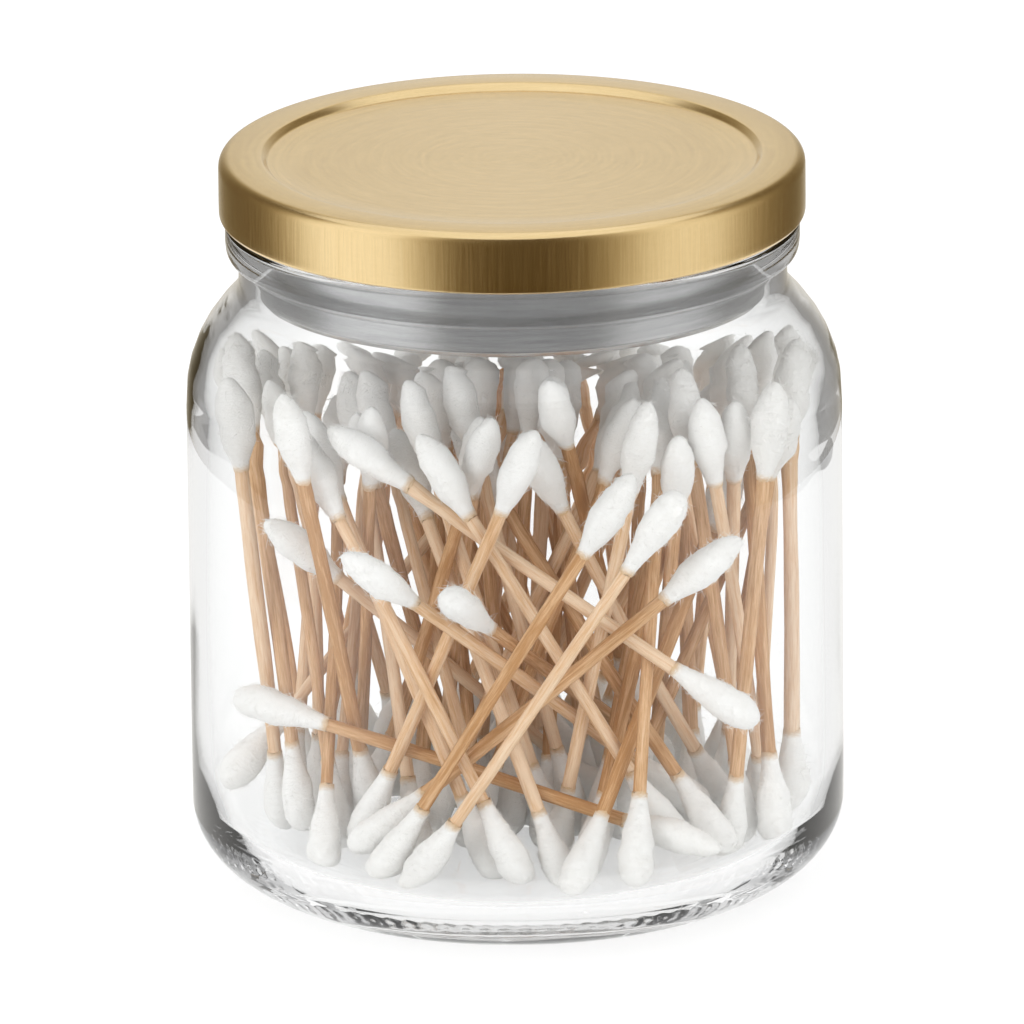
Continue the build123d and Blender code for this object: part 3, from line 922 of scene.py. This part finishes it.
# Studio: strengths at which each kind of ray sees the white sky and the floor
SKY_MIRRORED = 0.92
SKY_LIGHT = 0.96
SKY_SIDES = (0.3, 0.85)
FLOOR_SIDES_M = (0.1, 0.35)
SIDE_SHADE = 0.55
FLOOR_REACH = 6000.0
FLOOR_GLOW = 1.12
FLOOR_GLOW_SHARE = 0.62

# Screen and apron that mirrors see: sizes, and brightness by bearing in degrees, 0 in front
SCREEN_RADIUS = 300.0
SCREEN_HEIGHT = 440.0
SCREEN_SIDES = 96
APRON_RADIUS = 58.0
APRON_CLEAR = 240.0
APRON_HEIGHT = 0.4
LEAST_IN_GLASS = 0.34
WARM_GREEN = 1.15
WARM_BLUE = 1.5
SCREEN_SHADES = (
    (-180, 0.74), (-164, 0.62), (-146, 0.11), (-110, 0.11), (-94, 0.22), (-78, 1.1), (-46, 1.1),
    (-34, 0.55), (-22, 0.06), (22, 0.06), (38, 0.3), (54, 0.88), (80, 0.88), (96, 0.34), (118, 0.12),
    (146, 0.11), (164, 0.62), (180, 0.74),
)
APRON_SHADES = ((-180, 0.9), (-78, 0.9), (-50, 0.0), (50, 0.0), (78, 0.9), (180, 0.9))

# Lamps: name, place and size in millimetres, and watts
LAMPS = (
    ("key", (-900, -1100, 700), 700, 6.0),
    ("fill", (1000, -900, 450), 800, 3.4),
    ("top", (0, 200, 1200), 900, 3.0),
)
LAMP_AIM = (0, 0, 60)


def to_side(add, x, near, far, least):
    """A factor that falls from 1 in the middle to the least value at the left and right."""
    side = add(
        "ShaderNodeMapRange",
        {"interpolation_type": "SMOOTHSTEP"},
        Value=maths(add, "ABSOLUTE", x),
        From_Min=near,
        From_Max=far,
        To_Min=1.0,
        To_Max=least,
    )
    return side.outputs[0]


def backdrop():
    """A white world, with its own strength for mirrors, through glass and as light."""
    world = bpy.data.worlds.new("studio")
    bpy.context.scene.world = world
    world.use_nodes = True
    tree = world.node_tree
    tree.nodes.clear()
    add = kit_of(tree)
    ray = add("ShaderNodeLightPath")
    way = add("ShaderNodeSeparateXYZ", None, Vector=add("ShaderNodeTexCoord").outputs["Generated"])
    through = to_side(add, way.outputs[0], *SKY_SIDES, SIDE_SHADE)
    white = (1, 1, 1, 1)
    shade = add("ShaderNodeBackground", None, Color=white, Strength=SKY_LIGHT).outputs[0]
    kinds = ((SKY_MIRRORED, "Is Glossy Ray"), (through, "Is Transmission Ray"), (1.0, "Is Camera Ray"))
    for strength, kind in kinds:
        light = add("ShaderNodeBackground", None, Color=white, Strength=strength).outputs[0]
        shade = add("ShaderNodeMixShader", None, i0=ray.outputs[kind], i1=shade, i2=light).outputs[0]
    output = add("ShaderNodeOutputWorld")
    tree.links.new(shade, output.inputs["Surface"])


def pale_floor():
    """A pale matt floor that also glows a little for the camera, through glass and in mirrors."""
    corners = [(x * FLOOR_REACH, y * FLOOR_REACH, 0) for x, y in ((-1, -1), (1, -1), (1, 1), (-1, 1))]
    floor = make_mesh("floor", corners, [(0, 1, 2, 3)])
    material, tree, add, output = node_kit("pale_floor")
    ray = add("ShaderNodeLightPath")
    place = add("ShaderNodeSeparateXYZ", None, Vector=add("ShaderNodeTexCoord").outputs["Object"])
    beside = to_side(add, place.outputs[0], *FLOOR_SIDES_M, SIDE_SHADE)
    glow_level = maths(add, "MAXIMUM", beside, ray.outputs["Is Camera Ray"])
    plain = add("ShaderNodeBsdfDiffuse", Color=(0.9, 0.9, 0.9, 1))
    glow = add("ShaderNodeEmission", Strength=maths(add, "MULTIPLY", glow_level, FLOOR_GLOW))
    seen = maths(add, "MAXIMUM", ray.outputs["Is Camera Ray"], ray.outputs["Is Transmission Ray"])
    seen = maths(add, "MAXIMUM", seen, ray.outputs["Is Glossy Ray"])
    share = maths(add, "MULTIPLY", seen, FLOOR_GLOW_SHARE)
    mixed = add("ShaderNodeMixShader", None, i0=share, i1=plain.outputs[0], i2=glow.outputs[0])
    tree.links.new(mixed.outputs[0], output.inputs["Surface"])
    floor.data.materials.append(material)


def by_turn(shades):
    """Ramp stops, from 0 behind through 0.5 in front to 1, from bearings in degrees."""
    return [((degrees + 180) / 360, (value,)) for degrees, value in shades]


def screen():
    """A screen round the set and an apron inside it, which only mirrors see, darkest in front."""
    rim = [(APRON_RADIUS, APRON_HEIGHT), (SCREEN_RADIUS, APRON_HEIGHT), (SCREEN_RADIUS, SCREEN_HEIGHT)]
    faces = grid_faces(len(rim), SCREEN_SIDES).tolist()
    tent = make_mesh("screen", turned(np.array(rim), SCREEN_SIDES), faces)
    tent.visible_camera = tent.visible_diffuse = tent.visible_shadow = False
    material, tree, add, output = node_kit("screen")
    radius, cosine, sine, _ = polar(add)
    bearing = maths(add, "ARCTAN2", cosine, maths(add, "MULTIPLY", sine, -1.0))
    turn = maths(add, "ADD", maths(add, "DIVIDE", bearing, 2 * math.pi), 0.5)
    shade = ramp(add, turn, by_turn(SCREEN_SHADES), "B_SPLINE")
    back = ramp(add, turn, by_turn(APRON_SHADES))
    inner = maths(add, "LESS_THAN", radius, APRON_CLEAR * MM)
    shade = maths(add, "MAXIMUM", shade, maths(add, "MULTIPLY", back, inner))
    warm = add(
        "ShaderNodeCombineColor",
        None,
        Red=shade,
        Green=maths(add, "POWER", shade, WARM_GREEN),
        Blue=maths(add, "POWER", shade, WARM_BLUE),
    )
    ray = add("ShaderNodeLightPath")
    in_glass = maths(add, "GREATER_THAN", ray.outputs["Transmission Depth"], 0.5)
    softer = maths(add, "MAXIMUM", shade, LEAST_IN_GLASS)
    seen = add("ShaderNodeMix", {"data_type": "RGBA"}, i0=in_glass, i6=warm.outputs[0], i7=softer)
    mirrored = maths(add, "GREATER_THAN", ray.outputs["Glossy Depth"], 0.5)
    unmirrored = maths(add, "SUBTRACT", 1.0, mirrored)
    straight = maths(add, "MULTIPLY", ray.outputs["Is Transmission Ray"], unmirrored)
    glow = add("ShaderNodeEmission", None, Color=seen.outputs[2], Strength=1.0)
    clear = add("ShaderNodeBsdfTransparent")
    mixed = add("ShaderNodeMixShader", None, i0=straight, i1=glow.outputs[0], i2=clear.outputs[0])
    tree.links.new(mixed.outputs[0], output.inputs["Surface"])
    tent.data.materials.append(material)


def lamps():
    """A key from the upper left, a weaker fill from the right and a soft top light."""
    for name, place, size, power in LAMPS:
        data = bpy.data.lights.new(name, "AREA")
        data.shape = "SQUARE"
        data.size = size * MM
        data.energy = power
        lamp = bpy.data.objects.new(name, data)
        lamp.location = Vector(place) * MM
        towards = Vector(LAMP_AIM) - Vector(place)
        lamp.rotation_euler = towards.to_track_quat("-Z", "Y").to_euler()
        lamp.visible_camera = lamp.visible_glossy = False
        bpy.context.scene.collection.objects.link(lamp)


def camera():
    """The camera, from the fit to the photograph."""
    scene = bpy.context.scene
    data = bpy.data.cameras.new("camera")
    data.sensor_width = SENSOR
    data.lens = CAMERA_LENS
    made = bpy.data.objects.new("camera", data)
    raised = math.radians(CAMERA_ELEVATION)
    back = Vector((0, -math.cos(raised), math.sin(raised)))
    place = Vector(CAMERA_TARGET) + back * CAMERA_DISTANCE
    look = (Vector(CAMERA_AIM) - place).to_track_quat("-Z", "Y").to_matrix()
    roll = Matrix.Rotation(math.radians(CAMERA_ROLL), 3, "Z")
    made.matrix_world = Matrix.Translation(place * MM) @ (look @ roll).to_4x4()
    data.clip_start, data.clip_end = CLIP_M
    scene.collection.objects.link(made)
    scene.camera = made


bpy.context.scene.view_settings.view_transform = "Standard"
cycles = bpy.context.scene.cycles
cycles.max_bounces, cycles.glossy_bounces, cycles.transmission_bounces = 24, 12, 20
cycles.adaptive_threshold = 0.03
camera()
backdrop()
pale_floor()
screen()
lamps()

gold, glass, grey, seal = gold_material(), glass_material(), plug_material(), seal_material()
birch, wool = wood_material(), cotton_material()

for make, material, node, body, slot in (
    (glass_jar, glass, "glass_jar", "jar", "clear_glass"),
    (lid_shell, gold, "lid_shell", "lid", "gold_lid"),
    (lid_plug, grey, "lid_plug", "lid", "grey_plug"),
    (seal_ring, seal, "seal_ring", "lid", "clear_seal"),
):
    piece = make()
    piece.data.materials.append(material)
    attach(piece, body)
    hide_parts(node)

swab_names = sorted({name.rsplit("_", 1)[0] for name in nodes if name.endswith("_cotton")})
for number, name in enumerate(swab_names):
    swabs = swab_axes(name)
    sticks, tips = swab_meshes(name, swabs, SEED + number)
    for piece, material, node, slot in (
        (sticks, birch, "stick", "birch_stick"),
        (tips, wool, "cotton", "white_cotton"),
    ):
        piece.data.materials.append(material)
        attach(piece, "jar")
        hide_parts(f"{name}_{node}")
